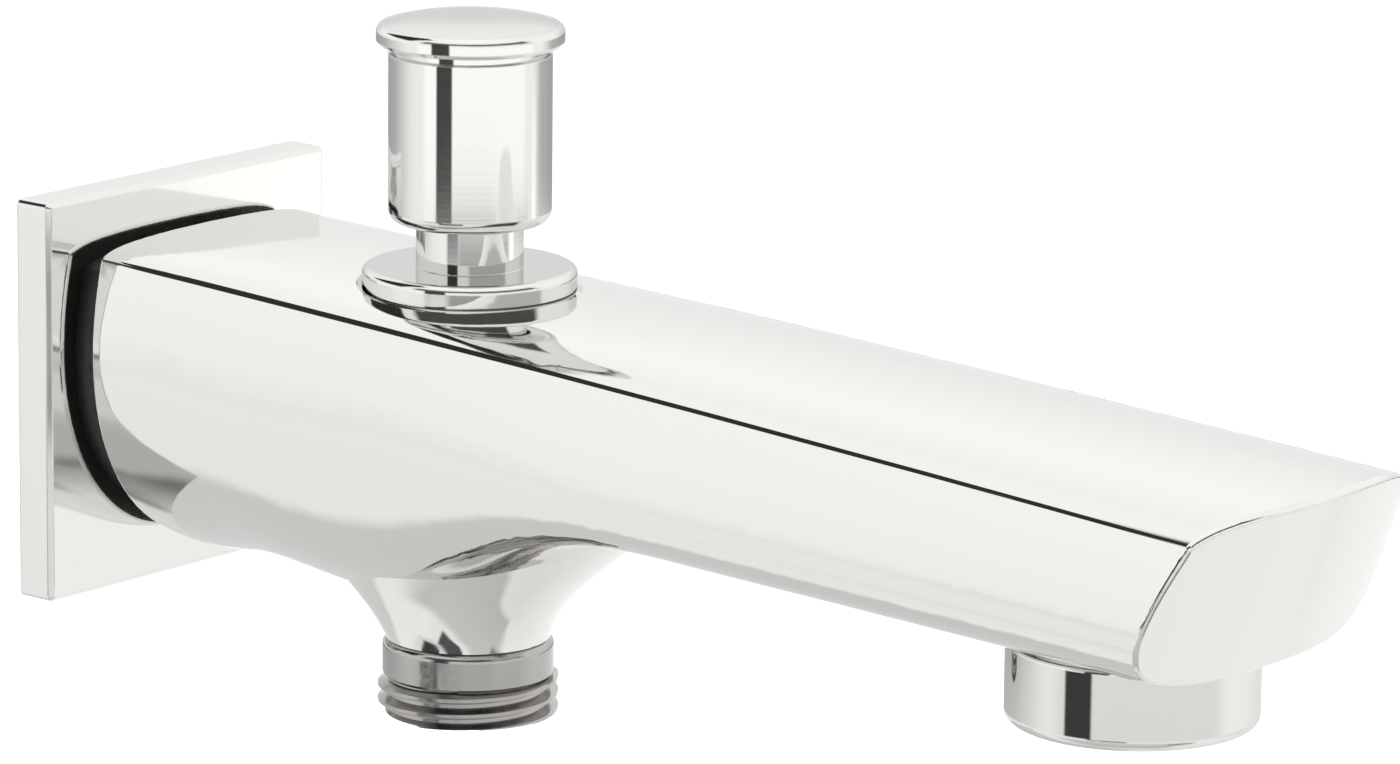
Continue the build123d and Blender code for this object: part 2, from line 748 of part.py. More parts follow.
with BuildPart() as aerator_jet_plate:
    with BuildSketch(Plane.XY.offset(jet_plate_bottom)):
        with Locations((aerator_x, 0)):
            Circle(insert_radius)
            with PolarLocations(jet_circle_radius, jet_holes):
                Circle(jet_hole_radius, mode=Mode.SUBTRACT)
    extrude(amount=jet_plate_thickness)
finish(aerator_jet_plate, "aerator_jet_plate")

for screen, screen_top in (("upper", jet_plate_bottom), ("lower", jet_plate_bottom - screen_thickness)):
    with BuildPart() as aerator_screen:
        with BuildSketch(Plane.XY.offset(screen_top - screen_thickness)):
            with Locations((aerator_x, 0)):
                Circle(insert_radius)
        extrude(amount=screen_thickness)
    finish(aerator_screen, f"{screen}_aerator_screen")

with BuildPart() as aerator_grid:
    with BuildSketch(Plane.XY.offset(grid_bottom)):
        with Locations((aerator_x, 0)):
            Circle(insert_radius)
            with HexLocations(grid_pitch / 2, grid_count, grid_count):
                RegularPolygon(grid_hole_radius, 6, mode=Mode.SUBTRACT)
    extrude(amount=grid_top - grid_bottom)
finish(aerator_grid, "aerator_grid")
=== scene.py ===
import bpy
import math
from mathutils import Matrix, Vector


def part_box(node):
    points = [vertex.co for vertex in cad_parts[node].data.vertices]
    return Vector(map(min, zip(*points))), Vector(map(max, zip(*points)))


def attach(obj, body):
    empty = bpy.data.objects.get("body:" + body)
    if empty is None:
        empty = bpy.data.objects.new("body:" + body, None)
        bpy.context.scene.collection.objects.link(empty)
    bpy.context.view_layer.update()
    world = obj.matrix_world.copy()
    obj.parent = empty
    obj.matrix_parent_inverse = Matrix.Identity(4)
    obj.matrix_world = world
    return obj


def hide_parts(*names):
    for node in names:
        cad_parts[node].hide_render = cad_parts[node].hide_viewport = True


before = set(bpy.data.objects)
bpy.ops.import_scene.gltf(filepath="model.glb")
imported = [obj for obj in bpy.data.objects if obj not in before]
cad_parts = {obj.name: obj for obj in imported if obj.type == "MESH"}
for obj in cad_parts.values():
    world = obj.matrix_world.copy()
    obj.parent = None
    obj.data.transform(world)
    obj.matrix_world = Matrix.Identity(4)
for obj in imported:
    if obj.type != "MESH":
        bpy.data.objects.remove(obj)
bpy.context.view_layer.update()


# Spout casting: brass, sand cast in one piece with its tail, flare and aerator spigot, ground
# and polished to crisp ridges, then nickel and chrome plated. Only the thread, its relief and the
# end of the tail are machined afterwards and stay bare.
def linear(code):
    """An sRGB hex colour as the linear colour that a socket takes."""
    shares = [int(code[place:place + 2], 16) / 255 for place in (0, 2, 4)]
    return [s / 12.92 if s <= 0.04045 else ((s + 0.055) / 1.055) ** 2.4 for s in shares] + [1.0]


def add_node(tree, kind, inputs=None, **settings):
    """Adds one node, with its settings, and its inputs as values or as links."""
    node = tree.nodes.new(kind)
    for name, value in settings.items():
        setattr(node, name, value)
    for socket, value in (inputs or {}).items():
        if isinstance(value, bpy.types.NodeSocket):
            tree.links.new(value, node.inputs[socket])
        else:
            node.inputs[socket].default_value = value
    return node


def new_material(name):
    """An empty material, with its shader, its tree and the object's own coordinates."""
    material = bpy.data.materials.new(name)
    material.use_nodes = True
    tree = material.node_tree
    tree.nodes.clear()
    shader = add_node(tree, "ShaderNodeBsdfPrincipled")
    add_node(tree, "ShaderNodeOutputMaterial", {"Surface": shader.outputs["BSDF"]})
    place = add_node(tree, "ShaderNodeTexCoord").outputs["Object"]
    return material, tree, shader, place


def dress(node, material):
    """Gives a CAD node its material."""
    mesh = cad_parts[node].data
    mesh.materials.clear()
    mesh.materials.append(material)


def math_node(tree, operation, first, second):
    """The result of one sum on two values or sockets."""
    return add_node(tree, "ShaderNodeMath", {0: first, 1: second}, operation=operation).outputs[0]


# Bright chrome plate on a hand-polished casting: a clear mirror, with a slight waviness left by
# the polishing wheel. The neck behind the body is coloured dark, as painted shade for the deep gap
# between body and flange, and is given a dull roughness; the thread shows turned brass.
cast_chrome, tree, shader, place = new_material("bright_chrome_on_polished_casting")
chrome_colour = linear("e3e2e0")
# Painted shade: this dark colour on the neck stands for the shade in the gap between body and
# flange.
painted_neck_shade_colour = linear("636261")
brass_colour = linear("c9a552")
machined_dullness = 0.25
neck_end = 0.00735
neck_start = 0.0049
bore_reach = 0.0105
bore_depth = 0.0175
wheel_wave = 0.014
haze_patch = 0.006
neck_grain = 0.0006
waves = add_node(tree, "ShaderNodeTexNoise", {
    "Vector": place, "Scale": 1 / wheel_wave, "Detail": 0.0,
})
haze = add_node(tree, "ShaderNodeTexNoise", {
    "Vector": place, "Scale": 1 / haze_patch, "Detail": 4.0,
})
neck_grain_noise = add_node(tree, "ShaderNodeTexNoise", {
    "Vector": place, "Scale": 1 / neck_grain, "Detail": 3.0,
})
wavy = add_node(tree, "ShaderNodeBump", {
    "Strength": 0.03, "Distance": 0.0004, "Height": waves.outputs["Fac"],
})
parts = add_node(tree, "ShaderNodeSeparateXYZ", {"Vector": place})
cross = add_node(tree, "ShaderNodeCombineXYZ", {"Y": parts.outputs["Y"], "Z": parts.outputs["Z"]})
reach = add_node(tree, "ShaderNodeVectorMath", {0: cross.outputs["Vector"]}, operation="LENGTH")
in_neck = math_node(tree, "MULTIPLY", math_node(tree, "LESS_THAN", parts.outputs["X"], neck_end),
                    math_node(tree, "GREATER_THAN", parts.outputs["X"], neck_start))
in_bore = math_node(tree, "MULTIPLY", math_node(tree, "LESS_THAN", parts.outputs["X"], bore_depth),
                    math_node(tree, "LESS_THAN", reach.outputs["Value"], bore_reach))
at_end = math_node(tree, "LESS_THAN", parts.outputs["X"], neck_start)
machined = math_node(tree, "MAXIMUM", in_bore, at_end)
dullness = add_node(tree, "ShaderNodeMapRange", {
    "Value": haze.outputs["Fac"], "From Min": 0.3, "From Max": 0.7, "To Min": 0.03, "To Max": 0.075,
})
neck_dullness = add_node(tree, "ShaderNodeMapRange", {
    "Value": neck_grain_noise.outputs["Fac"], "From Min": 0.3, "From Max": 0.7, "To Min": 0.45, "To Max": 0.65,
})
# The neck's dark colour is painted shade for the gap behind the body, not a finish of the metal.
neck_shade_tone = add_node(tree, "ShaderNodeMix", {
    "Factor": in_neck, "A": chrome_colour, "B": painted_neck_shade_colour,
}, data_type="RGBA")
cast_tone = add_node(tree, "ShaderNodeMix", {
    "Factor": machined, "A": neck_shade_tone.outputs["Result"], "B": brass_colour,
}, data_type="RGBA")
neck_rough = add_node(tree, "ShaderNodeMix", {
    "Factor": in_neck, "A": dullness.outputs["Result"], "B": neck_dullness.outputs["Result"],
})
cast_rough = add_node(tree, "ShaderNodeMix", {
    "Factor": machined, "A": neck_rough.outputs["Result"], "B": machined_dullness,
})
tree.links.new(wavy.outputs["Normal"], shader.inputs["Normal"])
tree.links.new(cast_rough.outputs["Result"], shader.inputs["Roughness"])
tree.links.new(cast_tone.outputs["Result"], shader.inputs["Base Color"])
shader.inputs["Metallic"].default_value = 1.0
dress("spout_body", cast_chrome)


# Inlet thread: a female G1/2 thread, cut in the tail of the casting. Its ridges are drawn as one
# brass helix that stands on the wall of the bore.
def threaded_ridge(name, root, crest, root_width, crest_width, pitch, turns, start, axis):
    """One ridge of trapezium section, wound round the X or the Z axis through the origin."""
    bpy.ops.object.select_all(action="DESELECT")
    bpy.ops.mesh.primitive_plane_add(size=1)
    ridge = bpy.context.object
    ridge.name = name
    along = Vector((1, 0, 0)) if axis == "X" else Vector((0, 0, 1))
    outward = Vector((0, 0, 1)) if axis == "X" else Vector((1, 0, 0))
    bpy.ops.object.mode_set(mode="EDIT")
    bpy.ops.mesh.select_all(action="SELECT")
    bpy.ops.transform.rotate(value=math.pi / 2, orient_axis="X", center_override=(0, 0, 0))
    size = along * root_width + outward * abs(crest - root)
    bpy.ops.transform.resize(value=[part or 1 for part in size], center_override=(0, 0, 0))
    bpy.ops.transform.translate(value=along * start + outward * (root + crest) / 2)
    bpy.ops.object.mode_set(mode="OBJECT")
    middle = (root + crest) / 2
    for vertex in ridge.data.vertices:
        vertex.select = (vertex.co.dot(outward) - middle) * (crest - root) > 0
    for edge in ridge.data.edges:
        edge.select = all(ridge.data.vertices[end].select for end in edge.vertices)
    for face in ridge.data.polygons:
        face.select = False
    bpy.ops.object.mode_set(mode="EDIT")
    narrower = crest_width / root_width
    bpy.ops.transform.resize(
        value=[narrower if part else 1 for part in along], center_override=along * start,
    )
    bpy.ops.object.mode_set(mode="OBJECT")
    bpy.ops.object.modifier_add(type="SCREW")
    winding = ridge.modifiers[-1]
    winding.axis = axis
    steps_in_a_turn = 72
    winding.steps = steps_in_a_turn
    winding.render_steps = steps_in_a_turn
    winding.screw_offset = pitch
    winding.iterations = turns
    bpy.ops.object.modifier_apply(modifier=winding.name)
    return ridge


def trim(piece, place, normal):
    """Cuts away what lies on the far side of a plane, and closes the cut."""
    bpy.ops.object.select_all(action="DESELECT")
    piece.select_set(True)
    bpy.context.view_layer.objects.active = piece
    bpy.ops.object.mode_set(mode="EDIT")
    bpy.ops.mesh.select_all(action="SELECT")
    bpy.ops.mesh.bisect(plane_co=place, plane_no=normal, use_fill=True, clear_outer=True)
    bpy.ops.mesh.select_all(action="SELECT")
    bpy.ops.mesh.normals_make_consistent(inside=False)
    bpy.ops.object.mode_set(mode="OBJECT")


thread_pitch = 0.001814
thread_root_width = 0.0015
thread_crest_width = 0.0004
crisp_from = math.radians(30)
inlet_thread_root = 0.00934
inlet_thread_crest = 0.00868
inlet_thread_turns = 8
inlet_thread_start = -0.002
first_thread = 0.0004
last_thread = 0.0108
inlet_thread = threaded_ridge(
    "inlet_thread", inlet_thread_root, inlet_thread_crest, thread_root_width,
    thread_crest_width, thread_pitch, inlet_thread_turns, inlet_thread_start, "X",
)
trim(inlet_thread, (first_thread, 0, 0), (-1, 0, 0))
trim(inlet_thread, (last_thread, 0, 0), (1, 0, 0))
bpy.ops.object.shade_smooth_by_angle(angle=crisp_from)
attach(inlet_thread, "spout")


# Wall flange: a square cover, cast in brass and polished flat with sharp edges, then plated as
# the spout is. Its hollow back keeps the dull, greyish plate of the raw casting.
flange_chrome, tree, shader, place = new_material("bright_chrome_on_flat_polished_flange")
rim_inside = 0.0222
front_wall_back = 0.00345
raw_plate_colour = linear("a5a39f")
raw_dullness = 0.5
raw_grain = 0.0008
swirl_patch = 0.009
flange_edge = 0.0003
parts = add_node(tree, "ShaderNodeSeparateXYZ", {"Vector": place})
out_y = add_node(tree, "ShaderNodeMath", {0: parts.outputs["Y"]}, operation="ABSOLUTE").outputs[0]
out_z = add_node(tree, "ShaderNodeMath", {0: parts.outputs["Z"]}, operation="ABSOLUTE").outputs[0]
within = math_node(tree, "LESS_THAN", math_node(tree, "MAXIMUM", out_y, out_z), rim_inside)
in_back = math_node(tree, "MULTIPLY", within,
                    math_node(tree, "LESS_THAN", parts.outputs["X"], front_wall_back))
raw = add_node(tree, "ShaderNodeTexNoise", {
    "Vector": place, "Scale": 1 / raw_grain, "Detail": 4.0,
})
swirl = add_node(tree, "ShaderNodeTexNoise", {
    "Vector": place, "Scale": 1 / swirl_patch, "Detail": 2.0,
})
rounded = add_node(tree, "ShaderNodeBevel", {"Radius": flange_edge}, samples=6)
raw_height = math_node(tree, "MULTIPLY", raw.outputs["Fac"], in_back)
grainy = add_node(tree, "ShaderNodeBump", {
    "Strength": 0.5, "Distance": 0.0001, "Height": raw_height, "Normal": rounded.outputs["Normal"],
})
flange_dullness = add_node(tree, "ShaderNodeMapRange", {
    "Value": swirl.outputs["Fac"], "From Min": 0.3, "From Max": 0.7, "To Min": 0.03, "To Max": 0.07,
})
flange_rough = add_node(tree, "ShaderNodeMix", {
    "Factor": in_back, "A": flange_dullness.outputs["Result"], "B": raw_dullness,
})
flange_tone = add_node(tree, "ShaderNodeMix", {
    "Factor": in_back, "A": chrome_colour, "B": raw_plate_colour,
}, data_type="RGBA")
tree.links.new(grainy.outputs["Normal"], shader.inputs["Normal"])
tree.links.new(flange_rough.outputs["Result"], shader.inputs["Roughness"])
tree.links.new(flange_tone.outputs["Result"], shader.inputs["Base Color"])
shader.inputs["Metallic"].default_value = 1.0
dress("wall_flange", flange_chrome)


# Turned fittings: knob, cap and aerator ring, turned from brass bar and chrome plated. Fine rings
# from the lathe are left under the plate. They are drawn wider apart than real ones, to show.
def turned_chrome(name, axis_x):
    """Chrome plate over fine lathe rings about the upright axis at axis_x."""
    material, tree, shader, place = new_material(name)
    ring_pitch = 0.0003
    turned_edge = 0.0002
    centred = add_node(tree, "ShaderNodeMapping", {"Vector": place, "Location": (-axis_x, 0, 0)})
    parts = add_node(tree, "ShaderNodeSeparateXYZ", {"Vector": centred.outputs["Vector"]})
    flat = add_node(tree, "ShaderNodeCombineXYZ", {
        "X": parts.outputs["X"], "Y": parts.outputs["Y"],
    })
    reach = add_node(tree, "ShaderNodeVectorMath", {0: flat.outputs["Vector"]}, operation="LENGTH")
    across = add_node(tree, "ShaderNodeCombineXYZ", {
        "X": reach.outputs["Value"], "Z": parts.outputs["Z"],
    })
    rings = add_node(tree, "ShaderNodeTexNoise", {
        "Vector": across.outputs["Vector"], "Scale": 1 / ring_pitch, "Detail": 2.0,
    })
    rounded = add_node(tree, "ShaderNodeBevel", {"Radius": turned_edge}, samples=4)
    lined = add_node(tree, "ShaderNodeBump", {
        "Strength": 0.02, "Distance": 0.00001, "Height": rings.outputs["Fac"],
        "Normal": rounded.outputs["Normal"],
    })
    dullness = add_node(tree, "ShaderNodeMapRange", {
        "Value": rings.outputs["Fac"], "To Min": 0.04, "To Max": 0.065,
    })
    tree.links.new(lined.outputs["Normal"], shader.inputs["Normal"])
    tree.links.new(dullness.outputs["Result"], shader.inputs["Roughness"])
    shader.inputs["Base Color"].default_value = chrome_colour
    shader.inputs["Specular Tint"].default_value = linear("e6e6e6")
    shader.inputs["Metallic"].default_value = 1.0
    return material


def upright_axis(node):
    """How far from the wall the axis of a turned CAD node stands."""
    lowest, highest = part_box(node)
    return (lowest.x + highest.x) / 2


diverter_x = upright_axis("diverter_bonnet")
aerator_x = upright_axis("aerator_ring")
diverter_chrome = turned_chrome("chrome_on_turned_diverter_parts", diverter_x)
aerator_chrome = turned_chrome("chrome_on_turned_aerator_ring", aerator_x)
for node in ("diverter_knob", "knob_cap"):
    dress(node, diverter_chrome)
dress("aerator_ring", aerator_chrome)


# Hand-shower nipple: turned from brass bar, with a rounded shoulder under the flare and a G1/2
# hose thread below it. Its plate is rougher than the casting's, because it isn't polished, and
# its colour is darker, as painted shade for its place under the body.
def turned(name, outline, centre_x):
    """Turns a closed outline of (radius, height) points about an upright axis, ring by ring."""
    sides = 96
    bpy.ops.object.select_all(action="DESELECT")
    radius, height = outline[0]
    bpy.ops.mesh.primitive_circle_add(
        vertices=sides, radius=radius, location=(centre_x, 0, height),
    )
    piece = bpy.context.object
    piece.name = name
    bpy.ops.object.transform_apply(location=True, rotation=False, scale=False)
    bpy.ops.object.mode_set(mode="EDIT")
    bpy.ops.mesh.select_all(action="SELECT")
    for next_radius, next_height in outline[1:] + outline[:1]:
        bpy.ops.mesh.extrude_region_move(
            TRANSFORM_OT_translate={"value": (0, 0, next_height - height)},
        )
        wider = next_radius / radius
        bpy.ops.transform.resize(
            value=(wider, wider, 1), center_override=(centre_x, 0, next_height),
        )
        radius, height = next_radius, next_height
    bpy.ops.mesh.select_all(action="SELECT")
    bpy.ops.mesh.remove_doubles(threshold=0.000001)
    bpy.ops.mesh.normals_make_consistent(inside=False)
    bpy.ops.object.mode_set(mode="OBJECT")
    return piece


def corner(radius, height, bend, start, end):
    """Points on a rounded corner about (radius, height), from one angle to another."""
    steps = 5
    turns = [math.radians(start + (end - start) * step / steps) for step in range(steps + 1)]
    return [(radius + bend * math.cos(turn), height + bend * math.sin(turn)) for turn in turns]


nipple_low, nipple_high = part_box("shower_nipple")
casting_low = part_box("spout_body")[0]
nipple_top = nipple_high.z
nipple_seam = casting_low.z
nipple_end = nipple_low.z
thread_length = 0.0043
collar_radius = 0.00995
collar_end = nipple_end + thread_length
thread_root = 0.00935
thread_crest = nipple_high.x - diverter_x
plug_radius = 0.0089
nipple_bore = 0.0055
nipple_mouth = 0.0076
mouth_depth = 0.005
mouth_end = 0.0058
lip_width = 0.0012
lip_height = 0.0006
groove_top = -0.01715
groove_bottom = -0.01875
groove_radius = 0.0073
shoulder = 0.001
nipple_edge = 0.0004
flat_from_corner = 0.0001
nipple_outline = [
    (nipple_bore, nipple_top),
    (nipple_bore + lip_width, nipple_top),
    (nipple_bore + lip_width, nipple_top - lip_height),
    (plug_radius, nipple_top - lip_height),
    (plug_radius, groove_top),
    (groove_radius, groove_top),
    (groove_radius, groove_bottom),
    (plug_radius, groove_bottom),
    (plug_radius, nipple_seam),
    *corner(collar_radius - shoulder, nipple_seam - shoulder, shoulder, 90, 0),
    (collar_radius, nipple_seam - shoulder - flat_from_corner),
    (collar_radius, collar_end + nipple_edge + flat_from_corner),
    (collar_radius, collar_end + nipple_edge),
    (collar_radius - nipple_edge, collar_end),
    (thread_root, collar_end),
    (thread_root, nipple_end + nipple_edge),
    (thread_root - nipple_edge, nipple_end),
    (nipple_mouth + nipple_edge, nipple_end),
    (nipple_mouth, nipple_end + nipple_edge),
    (nipple_mouth, nipple_end + mouth_depth),
    (nipple_bore, nipple_end + mouth_end),
]
nipple = turned("threaded_shower_nipple", nipple_outline, diverter_x)
bpy.ops.object.shade_smooth_by_angle(angle=crisp_from)
hose_thread_turns = 4
thread_lead_in = 0.0016
thread_sink = 0.0001
thread_gap = 0.0001
hose_thread = threaded_ridge(
    "hose_thread", thread_root - thread_sink, thread_crest, thread_root_width,
    thread_crest_width, thread_pitch, hose_thread_turns, nipple_end - thread_lead_in, "Z",
)
hose_thread.location = (diverter_x, 0, 0)
bpy.ops.object.transform_apply(location=True, rotation=False, scale=False)
trim(hose_thread, (0, 0, collar_end - thread_gap), (0, 0, 1))
trim(hose_thread, (0, 0, nipple_end + thread_gap), (0, 0, -1))
bpy.ops.object.shade_smooth_by_angle(angle=crisp_from)
bpy.ops.object.select_all(action="DESELECT")
hose_thread.select_set(True)
nipple.select_set(True)
bpy.context.view_layer.objects.active = nipple
bpy.ops.object.join()
nipple_chrome, tree, shader, place = new_material("dull_chrome_with_painted_shade_on_turned_nipple")
# Painted shade: the plate colour is darker than the casting's to stand for the shade under the
# body.
painted_shade_nipple_colour = linear("b0aeac")
dull_patch = 0.0008
dull_patches = add_node(tree, "ShaderNodeTexNoise", {
    "Vector": place, "Scale": 1 / dull_patch, "Detail": 3.0,
})
nipple_dullness = add_node(tree, "ShaderNodeMapRange", {
    "Value": dull_patches.outputs["Fac"],
    "From Min": 0.3, "From Max": 0.7, "To Min": 0.12, "To Max": 0.2,
})
tree.links.new(nipple_dullness.outputs["Result"], shader.inputs["Roughness"])
shader.inputs["Base Color"].default_value = painted_shade_nipple_colour
shader.inputs["Metallic"].default_value = 1.0
nipple.data.materials.append(nipple_chrome)
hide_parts("shower_nipple")
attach(nipple, "spout")


# Bonnet: the guide bush of the diverter, turned from brass bar and chrome plated. Its plug is
# screwed into the casting, its round rim has a flat face with soft corners, and its neck guides
# the spindle.
bonnet_low, bonnet_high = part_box("diverter_bonnet")
rim_radius = 0.0124
rim_corner = 0.0008
rim_bottom = 0.016
rim_top = 0.0193
bonnet_plug_radius = 0.0104
bonnet_plug_bottom = bonnet_low.z
seal_groove_bottom = 0.0133
seal_groove_top = 0.0151
seal_groove_radius = 0.0086
neck_radius = 0.0062
neck_top = bonnet_high.z
neck_edge = 0.0006
spindle_hole = 0.00308
piston_bore = 0.00458
piston_stop = 0.0224
bonnet_outline = [
    (piston_bore, bonnet_plug_bottom),
    (bonnet_plug_radius, bonnet_plug_bottom),
    (bonnet_plug_radius, seal_groove_bottom),
    (seal_groove_radius, seal_groove_bottom),
    (seal_groove_radius, seal_groove_top),
    (bonnet_plug_radius, seal_groove_top),
    (bonnet_plug_radius, rim_bottom),
    *corner(rim_radius - rim_corner, rim_bottom + rim_corner, rim_corner, -90, 0),
    (rim_radius, rim_bottom + rim_corner + flat_from_corner),
    (rim_radius, rim_top - rim_corner - flat_from_corner),
    *corner(rim_radius - rim_corner, rim_top - rim_corner, rim_corner, 0, 90),
    (rim_radius - rim_corner - flat_from_corner, rim_top),
    (neck_radius, rim_top),
    (neck_radius, neck_top - neck_edge),
    (neck_radius - neck_edge, neck_top),
    (spindle_hole, neck_top),
    (spindle_hole, piston_stop),
    (piston_bore, piston_stop),
]
bonnet = turned("turned_diverter_bonnet", bonnet_outline, diverter_x)
bpy.ops.object.shade_smooth_by_angle(angle=crisp_from)
bonnet.data.materials.append(diverter_chrome)
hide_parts("diverter_bonnet")
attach(bonnet, "spout")


# Valve parts inside the casting: free-turning brass, left bare, with the dull yellow of the bar.
bare_brass, tree, shader, place = new_material("bare_turned_brass")
bright_brass_colour = linear("e0c174")
tarnish_patch = 0.002
tarnish = add_node(tree, "ShaderNodeTexNoise", {
    "Vector": place, "Scale": 1 / tarnish_patch, "Detail": 5.0,
})
brass_tone = add_node(tree, "ShaderNodeMix", {
    "Factor": tarnish.outputs["Fac"], "A": brass_colour, "B": bright_brass_colour,
}, data_type="RGBA")
tree.links.new(brass_tone.outputs["Result"], shader.inputs["Base Color"])
shader.inputs["Metallic"].default_value = 1.0
shader.inputs["Roughness"].default_value = 0.28
for node in ("upper_seat_ring", "diverter_spindle", "valve_disc", "valve_nut"):
    dress(node, bare_brass)
inlet_thread.data.materials.append(bare_brass)


# Screw, spring, spring washer and aerator screens: stainless steel, drawn, rolled or woven. Its
# fine grain varies the gloss, and is drawn coarser than the real one, to show.
stainless, tree, shader, place = new_material("plain_stainless_steel")
steel_grain = 0.0004
grain = add_node(tree, "ShaderNodeTexNoise", {
    "Vector": place, "Scale": 1 / steel_grain, "Detail": 3.0,
})
steel_dullness = add_node(tree, "ShaderNodeMapRange", {
    "Value": grain.outputs["Fac"], "To Min": 0.22, "To Max": 0.4,
})
tree.links.new(steel_dullness.outputs["Result"], shader.inputs["Roughness"])
shader.inputs["Base Color"].default_value = linear("b9bab8")
shader.inputs["Metallic"].default_value = 1.0
for node in (
    "knob_screw", "diverter_spring", "spring_washer",
    "upper_aerator_screen", "lower_aerator_screen",
):
    dress(node, stainless)


# Seals: rings and flat washers of black nitrile rubber, moulded. They lie in grooves or are
# clamped, and have a dull, slightly uneven bloom.
nitrile, tree, shader, place = new_material("black_nitrile_rubber")
bloom_patch = 0.0015
bloom = add_node(tree, "ShaderNodeTexNoise", {
    "Vector": place, "Scale": 1 / bloom_patch, "Detail": 6.0,
})
rubber_tone = add_node(tree, "ShaderNodeMix", {
    "Factor": bloom.outputs["Fac"], "A": linear("1a1a1b"), "B": linear("2b2b2c"),
}, data_type="RGBA")
tree.links.new(rubber_tone.outputs["Result"], shader.inputs["Base Color"])
shader.inputs["Roughness"].default_value = 0.62
for node in (
    "flange_o_ring", "inlet_washer", "nipple_o_ring", "bonnet_o_ring", "lower_spindle_o_ring",
    "upper_spindle_o_ring", "lower_valve_washer", "upper_valve_washer", "aerator_washer",
):
    dress(node, nitrile)


# Gasket in the rim of the flange: a square frame of grey closed-cell polyethylene foam, die cut
# from sheet and glued into the hollow back. Its small cells show as pits.
foam, tree, shader, place = new_material("grey_closed_cell_foam")
foam_cell = 0.0006
cells = add_node(tree, "ShaderNodeTexVoronoi", {"Vector": place, "Scale": 1 / foam_cell})
pits = add_node(tree, "ShaderNodeBump", {
    "Strength": 0.6, "Distance": 0.0002, "Height": cells.outputs["Distance"],
})
tree.links.new(pits.outputs["Normal"], shader.inputs["Normal"])
shader.inputs["Base Color"].default_value = linear("5b5d60")
shader.inputs["Roughness"].default_value = 0.85
dress("flange_gasket", foam)


# Jet plate and outlet grid of the aerator: injection-moulded acetal, off-white and slightly
# glossy, with faint cloudy marks of the flow. They are pushed into the ring.
acetal, tree, shader, place = new_material("off_white_moulded_acetal")
flow_mark = 0.003
flow = add_node(tree, "ShaderNodeTexNoise", {
    "Vector": place, "Scale": 1 / flow_mark, "Detail": 3.0,
})
acetal_tone = add_node(tree, "ShaderNodeMix", {
    "Factor": flow.outputs["Fac"], "A": linear("d9d8d2"), "B": linear("e6e5e0"),
}, data_type="RGBA")
tree.links.new(acetal_tone.outputs["Result"], shader.inputs["Base Color"])
shader.inputs["Roughness"].default_value = 0.38
for node in ("aerator_jet_plate", "aerator_grid"):
    dress(node, acetal)


# Studio: a pale floor well below the spout, one large soft light, and a white tent with black
# and grey flags, which give polished chrome its dark lines. Only the tent shows in the chrome.
floor_height = -1.5
floor_size = 40.0
bpy.ops.object.select_all(action="DESELECT")
bpy.ops.mesh.primitive_plane_add(size=floor_size, location=(0, 0, floor_height))
floor = bpy.context.object
floor.name = "studio_floor"
floor.visible_glossy = False
floor_paper, tree, shader, place = new_material("matt_white_studio_paper")
shader.inputs["Base Color"].default_value = linear("fbfbfb")
shader.inputs["Roughness"].default_value = 0.9
floor.data.materials.append(floor_paper)

softbox_side = 6.0
softbox_power = 420
softbox_place = (-0.8, 1.0, 3.0)
softbox_data = bpy.data.lights.new("overhead_softbox", "AREA")
softbox_data.shape = "SQUARE"
softbox_data.size = softbox_side
softbox_data.energy = softbox_power
softbox = bpy.data.objects.new("overhead_softbox", softbox_data)
softbox.location = softbox_place
softbox.visible_glossy = False
bpy.context.collection.objects.link(softbox)

camera_turn = math.radians(39.48)
camera_rise = math.radians(13.0)
camera_roll = math.radians(0.617)
camera_distance = 0.8978
camera_target = Vector((0.08339, 0, 0.01086))

tent_brightness = (1.3, 1.3, 1.29, 1.0)
backdrop_colour = linear("fdfffe")
# The brightness of the tent's cloth, at rises in degrees.
tent_steps = (
    (-90, 0.66), (-60, 0.76), (-40, 0.82), (-22, 0.84), (-12, 0.85),
    (0, 0.86), (20, 0.9), (45, 0.87), (90, 0.97),
)
tent = bpy.data.worlds.new("white_tent")
tent.use_nodes = True
tree = tent.node_tree
tree.nodes.clear()
direction = add_node(tree, "ShaderNodeTexCoord").outputs["Generated"]
turned_round = add_node(tree, "ShaderNodeVectorRotate", {
    "Vector": direction, "Angle": math.pi / 2 - camera_turn,
}, rotation_type="Z_AXIS")
parts = add_node(tree, "ShaderNodeSeparateXYZ", {"Vector": turned_round.outputs["Vector"]})
bearing_turn = math_node(tree, "ARCTAN2", parts.outputs["Y"], parts.outputs["X"])
bearing = add_node(tree, "ShaderNodeMath", {0: bearing_turn}, operation="DEGREES").outputs[0]
rise_turn = add_node(tree, "ShaderNodeMath", {0: parts.outputs["Z"]}, operation="ARCSINE")
rise = add_node(tree, "ShaderNodeMath", {0: rise_turn.outputs[0]}, operation="DEGREES").outputs[0]
upright = add_node(tree, "ShaderNodeMapRange", {"Value": rise, "From Min": -90, "From Max": 90})
cloth = add_node(tree, "ShaderNodeValToRGB", {"Fac": upright.outputs["Result"]})
stops = cloth.color_ramp.elements
ready_stops = 2
for step, (height, level) in enumerate(tent_steps):
    share = (height + 90) / 180
    stop = stops[step] if step < ready_stops else stops.new(share)
    stop.position = share
    stop.color = (level, level, level, 1)


def flag(shade, bearings, rises, depth, soft_bearing, soft_rise):
    """Darkens the tent by depth between two bearings and two rises, all in degrees."""
    covered = 1.0
    for value, limits, soft in ((bearing, bearings, soft_bearing), (rise, rises, soft_rise)):
        for limit, way in zip(limits, (1, -1)):
            side = add_node(tree, "ShaderNodeMapRange", {
                "Value": value,
                "From Min": limit - way * soft / 2, "From Max": limit + way * soft / 2,
            }, interpolation_type="SMOOTHSTEP").outputs["Result"]
            covered = math_node(tree, "MULTIPLY", covered, side)
    kept = add_node(tree, "ShaderNodeMath", {
        0: covered, 1: -depth, 2: 1.0,
    }, operation="MULTIPLY_ADD").outputs[0]
    return math_node(tree, "MULTIPLY", shade, kept)


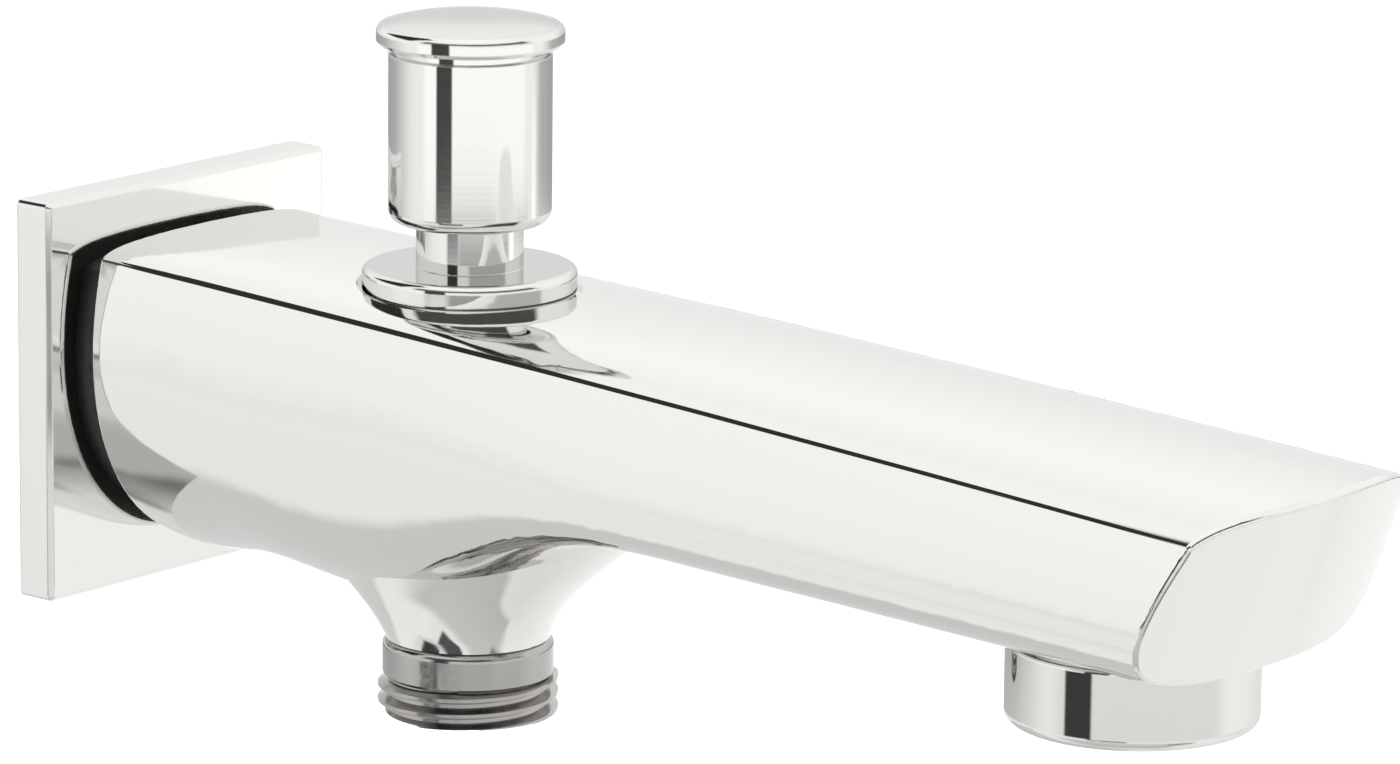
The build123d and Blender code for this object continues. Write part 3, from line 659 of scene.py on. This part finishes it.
# Each row holds a flag's bearings, its rises, the share of light it takes away, and how soft its
# upright and its level edges are. Bearings count from the camera to its right, all in degrees.
flags = (
    # black strips to the left of the camera: level, just below level, high up and lower down
    ((-47, -24), (-11.95, 14), 0.95, 3, 0.3),
    ((-66, -40), (-17, -13), 0.95, 3, 1),
    ((-133, -78), (21, 64), 0.97, 5, 3),
    ((-44, -8), (-27, -18.5), 0.9, 4, 2),
    # grey cloths low down, from the left of the camera to its right
    ((34, 64), (-47, -36), 0.6, 8, 4),
    ((-80, 54), (-75, -32), 0.36, 24, 6),
    ((-62, 125), (-33, -16), 0.1, 24, 2),
    ((-75, 84), (-19, -13.4), 0.18, 24, 1),
    # narrow grey strips just below level
    ((-48, 92), (-12.26, -11.9), 0.72, 10, 0.2),
    ((-22, 34), (-13.4, -12.26), 0.72, 12, 0.2),
    # cloths above level, the first of which darkens the round bonnet's reflection in the body
    ((-62, 78), (14, 36), 0.92, 10, 3),
    ((0, 84), (7.6, 14), 0.45, 8, 0.4),
    # white cards just below level, which add light
    ((-66, 84), (-11.8, -9), -0.14, 8, 0.4),
    ((97, 108), (-13.2, -11), -0.26, 4, 0.6),
    # grey cloths beside and behind the spout
    ((110, 200), (-11.9, -6), 0.5, 24, 0.6),
    ((-200, -106), (-16, -7), 0.5, 60, 4),
    ((-200, -108), (-80, -24), 0.3, 10, 5),
    ((-112, -66), (-44, -12), 0.06, 12, 16),
    ((135, 200), (-8, 16), 0.16, 20, 18),
    ((-200, -150), (-8, 16), 0.16, 20, 18),
)
shade = 1.0
for bearings, rises, depth, soft_bearing, soft_rise in flags:
    shade = flag(shade, bearings, rises, depth, soft_bearing, soft_rise)
lit = add_node(tree, "ShaderNodeMix", {
    "Factor": 1.0, "A": cloth.outputs["Color"], "B": shade,
}, data_type="RGBA", blend_type="MULTIPLY")
brighter = add_node(tree, "ShaderNodeMix", {
    "Factor": 1.0, "A": lit.outputs["Result"], "B": tent_brightness,
}, data_type="RGBA", blend_type="MULTIPLY")
seen = add_node(tree, "ShaderNodeLightPath").outputs["Is Camera Ray"]
backdrop = add_node(tree, "ShaderNodeMix", {
    "Factor": seen, "A": brighter.outputs["Result"], "B": backdrop_colour,
}, data_type="RGBA")
tent_light = add_node(tree, "ShaderNodeBackground", {"Color": backdrop.outputs["Result"]})
add_node(tree, "ShaderNodeOutputWorld", {"Surface": tent_light.outputs["Background"]})
bpy.context.scene.world = tent
bpy.context.scene.view_settings.view_transform = "Standard"

# Camera: a long lens, raised and turned as the photograph's was, and tilted very slightly.
camera_data = bpy.data.cameras.new("camera")
camera_data.sensor_width = 36
camera_data.lens = 205.7
camera_data.clip_end = 30
camera = bpy.data.objects.new("camera", camera_data)
bpy.context.collection.objects.link(camera)
level_right = Vector((math.cos(camera_turn), math.sin(camera_turn), 0))
forward = Vector((
    -math.sin(camera_turn) * math.cos(camera_rise),
    math.cos(camera_turn) * math.cos(camera_rise),
    -math.sin(camera_rise),
))
level_up = level_right.cross(forward)
right = level_right * math.cos(camera_roll) + level_up * math.sin(camera_roll)
up = level_up * math.cos(camera_roll) - level_right * math.sin(camera_roll)
camera.matrix_world = Matrix.Translation(camera_target - forward * camera_distance) @ Matrix(
    (right, up, -forward)
).transposed().to_4x4()
bpy.context.scene.camera = camera
